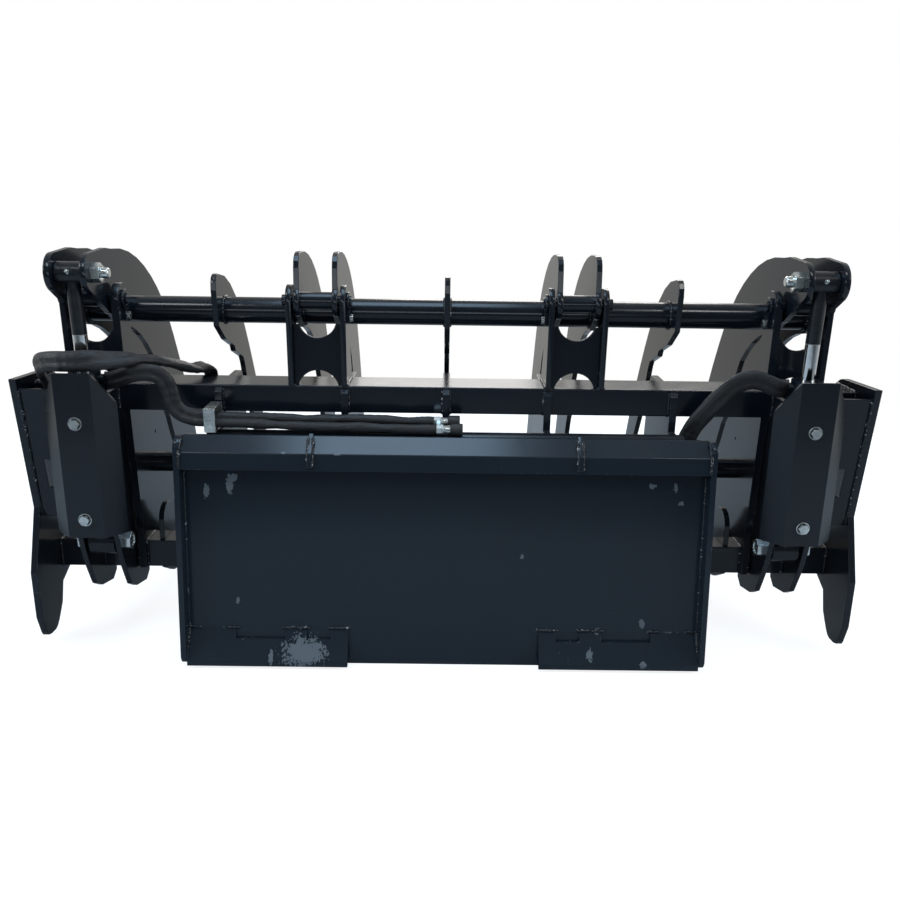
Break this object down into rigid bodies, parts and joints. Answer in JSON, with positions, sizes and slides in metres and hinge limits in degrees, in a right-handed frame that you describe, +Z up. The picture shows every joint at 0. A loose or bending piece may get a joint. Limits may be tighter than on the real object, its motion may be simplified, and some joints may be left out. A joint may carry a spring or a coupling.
{
  "type": "root rake grapple",
  "caption": "Wide steel root rake with curved plate tines, a quick-attach coupler plate at the rear and a hydraulic clamp jaw that closes down onto the tines.",
  "frame": {"origin": "on the ground, at the middle of the coupler plate's bottom edge", "axes": "+X to the right seen from behind, +Y forward where the tines point, +Z up"},
  "size_m": [1.829, 0.8653, 0.886],
  "materials": {
    "black_paint": "gloss",
    "zinc": "satin",
    "chrome_rod": "polished",
    "steel": "satin",
    "hose_sleeve": "matte",
    "rubber": "matte"
  },
  "bodies": {
    "rake_frame": {"upper_tube": "black_paint", "lower_tube": "black_paint", "side_plate_left": "black_paint", "side_plate_right": "black_paint", "end_panel_left": "black_paint", "end_panel_right": "black_paint", "mid_pipe": "black_paint", "back_pipe": "black_paint", "coupler_plate": "black_paint", "coupler_hood": "black_paint", "coupler_gussets": "black_paint", "coupler_flanges": "black_paint", "coupler_lock_ledges": "black_paint", "tine_centre": "black_paint", "tine_inner_left": "black_paint", "tine_inner_right": "black_paint", "tine_outer_left": "black_paint", "tine_outer_right": "black_paint", "tine_end_left": "black_paint", "tine_end_right": "black_paint", "short_tines": "black_paint", "hinge_ears_inner_left": "black_paint", "hinge_ears_inner_right": "black_paint", "hinge_ears_end": "black_paint", "hinge_braces": "black_paint", "cylinder_bracket_left": "black_paint", "cylinder_bracket_right": "black_paint", "guard_straps": "black_paint", "cylinder_guard_left": "black_paint", "cylinder_guard_right": "black_paint", "guard_bolts": "zinc", "hinge_pins": "black_paint", "pin_locks": "black_paint", "pin_lock_bolts": "zinc", "base_pins": "zinc", "hose_clamp": "zinc", "hose_bundle_main": "hose_sleeve", "hose_bundle_left": "hose_sleeve", "supply_hose_a": "rubber", "supply_hose_b": "rubber", "hose_fittings": "zinc", "dust_caps": "rubber"},
    "left_barrel": {"barrel_left": "black_paint", "gland_left": "black_paint"},
    "right_barrel": {"barrel_right": "black_paint", "gland_right": "black_paint"},
    "left_rod": {"rod_left": "chrome_rod", "piston_left": "steel"},
    "right_rod": {"rod_right": "chrome_rod", "piston_right": "steel"},
    "clamp_jaw": {"clamp_tube": "black_paint", "clamp_arms_inner_left": "black_paint", "clamp_arms_inner_right": "black_paint", "clamp_arms_outer_left": "black_paint", "clamp_arms_outer_right": "black_paint", "clamp_tine_centre": "black_paint", "clamp_tine_left": "black_paint", "clamp_tine_right": "black_paint", "hinge_bushings": "black_paint", "rod_pins": "zinc"}
  },
  "joints": [
    {"name": "clamp_hinge", "type": "hinge", "parent": "rake_frame", "child": "clamp_jaw", "pos_m": [0, 0.165, 0.779], "axis": [1, 0, 0], "range_deg": [0, 60]},
    {"name": "left_rod_hinge", "type": "hinge", "parent": "clamp_jaw", "child": "left_rod", "pos_m": [-0.765, 0.072, 0.84198], "axis": [1, 0, 0], "range_deg": [-58, 0]},
    {"name": "left_cylinder_slide", "type": "slide", "parent": "left_rod", "child": "left_barrel", "axis": [0, -0.0583, 0.9983], "range_m": [0, 0.11]},
    {"name": "right_rod_hinge", "type": "hinge", "parent": "clamp_jaw", "child": "right_rod", "pos_m": [0.765, 0.072, 0.84198], "axis": [1, 0, 0], "range_deg": [-58, 0]},
    {"name": "right_cylinder_slide", "type": "slide", "parent": "right_rod", "child": "right_barrel", "axis": [0, -0.0583, 0.9983], "range_m": [0, 0.11]}
  ],
  "couplings": [
    {"joint": "left_rod_hinge", "follows": "clamp_hinge", "ratio": -0.954},
    {"joint": "right_rod_hinge", "follows": "clamp_hinge", "ratio": -0.954},
    {"joint": "left_cylinder_slide", "follows": "clamp_hinge", "m_per_rad": 0.1035},
    {"joint": "right_cylinder_slide", "follows": "clamp_hinge", "m_per_rad": 0.1035}
  ]
}
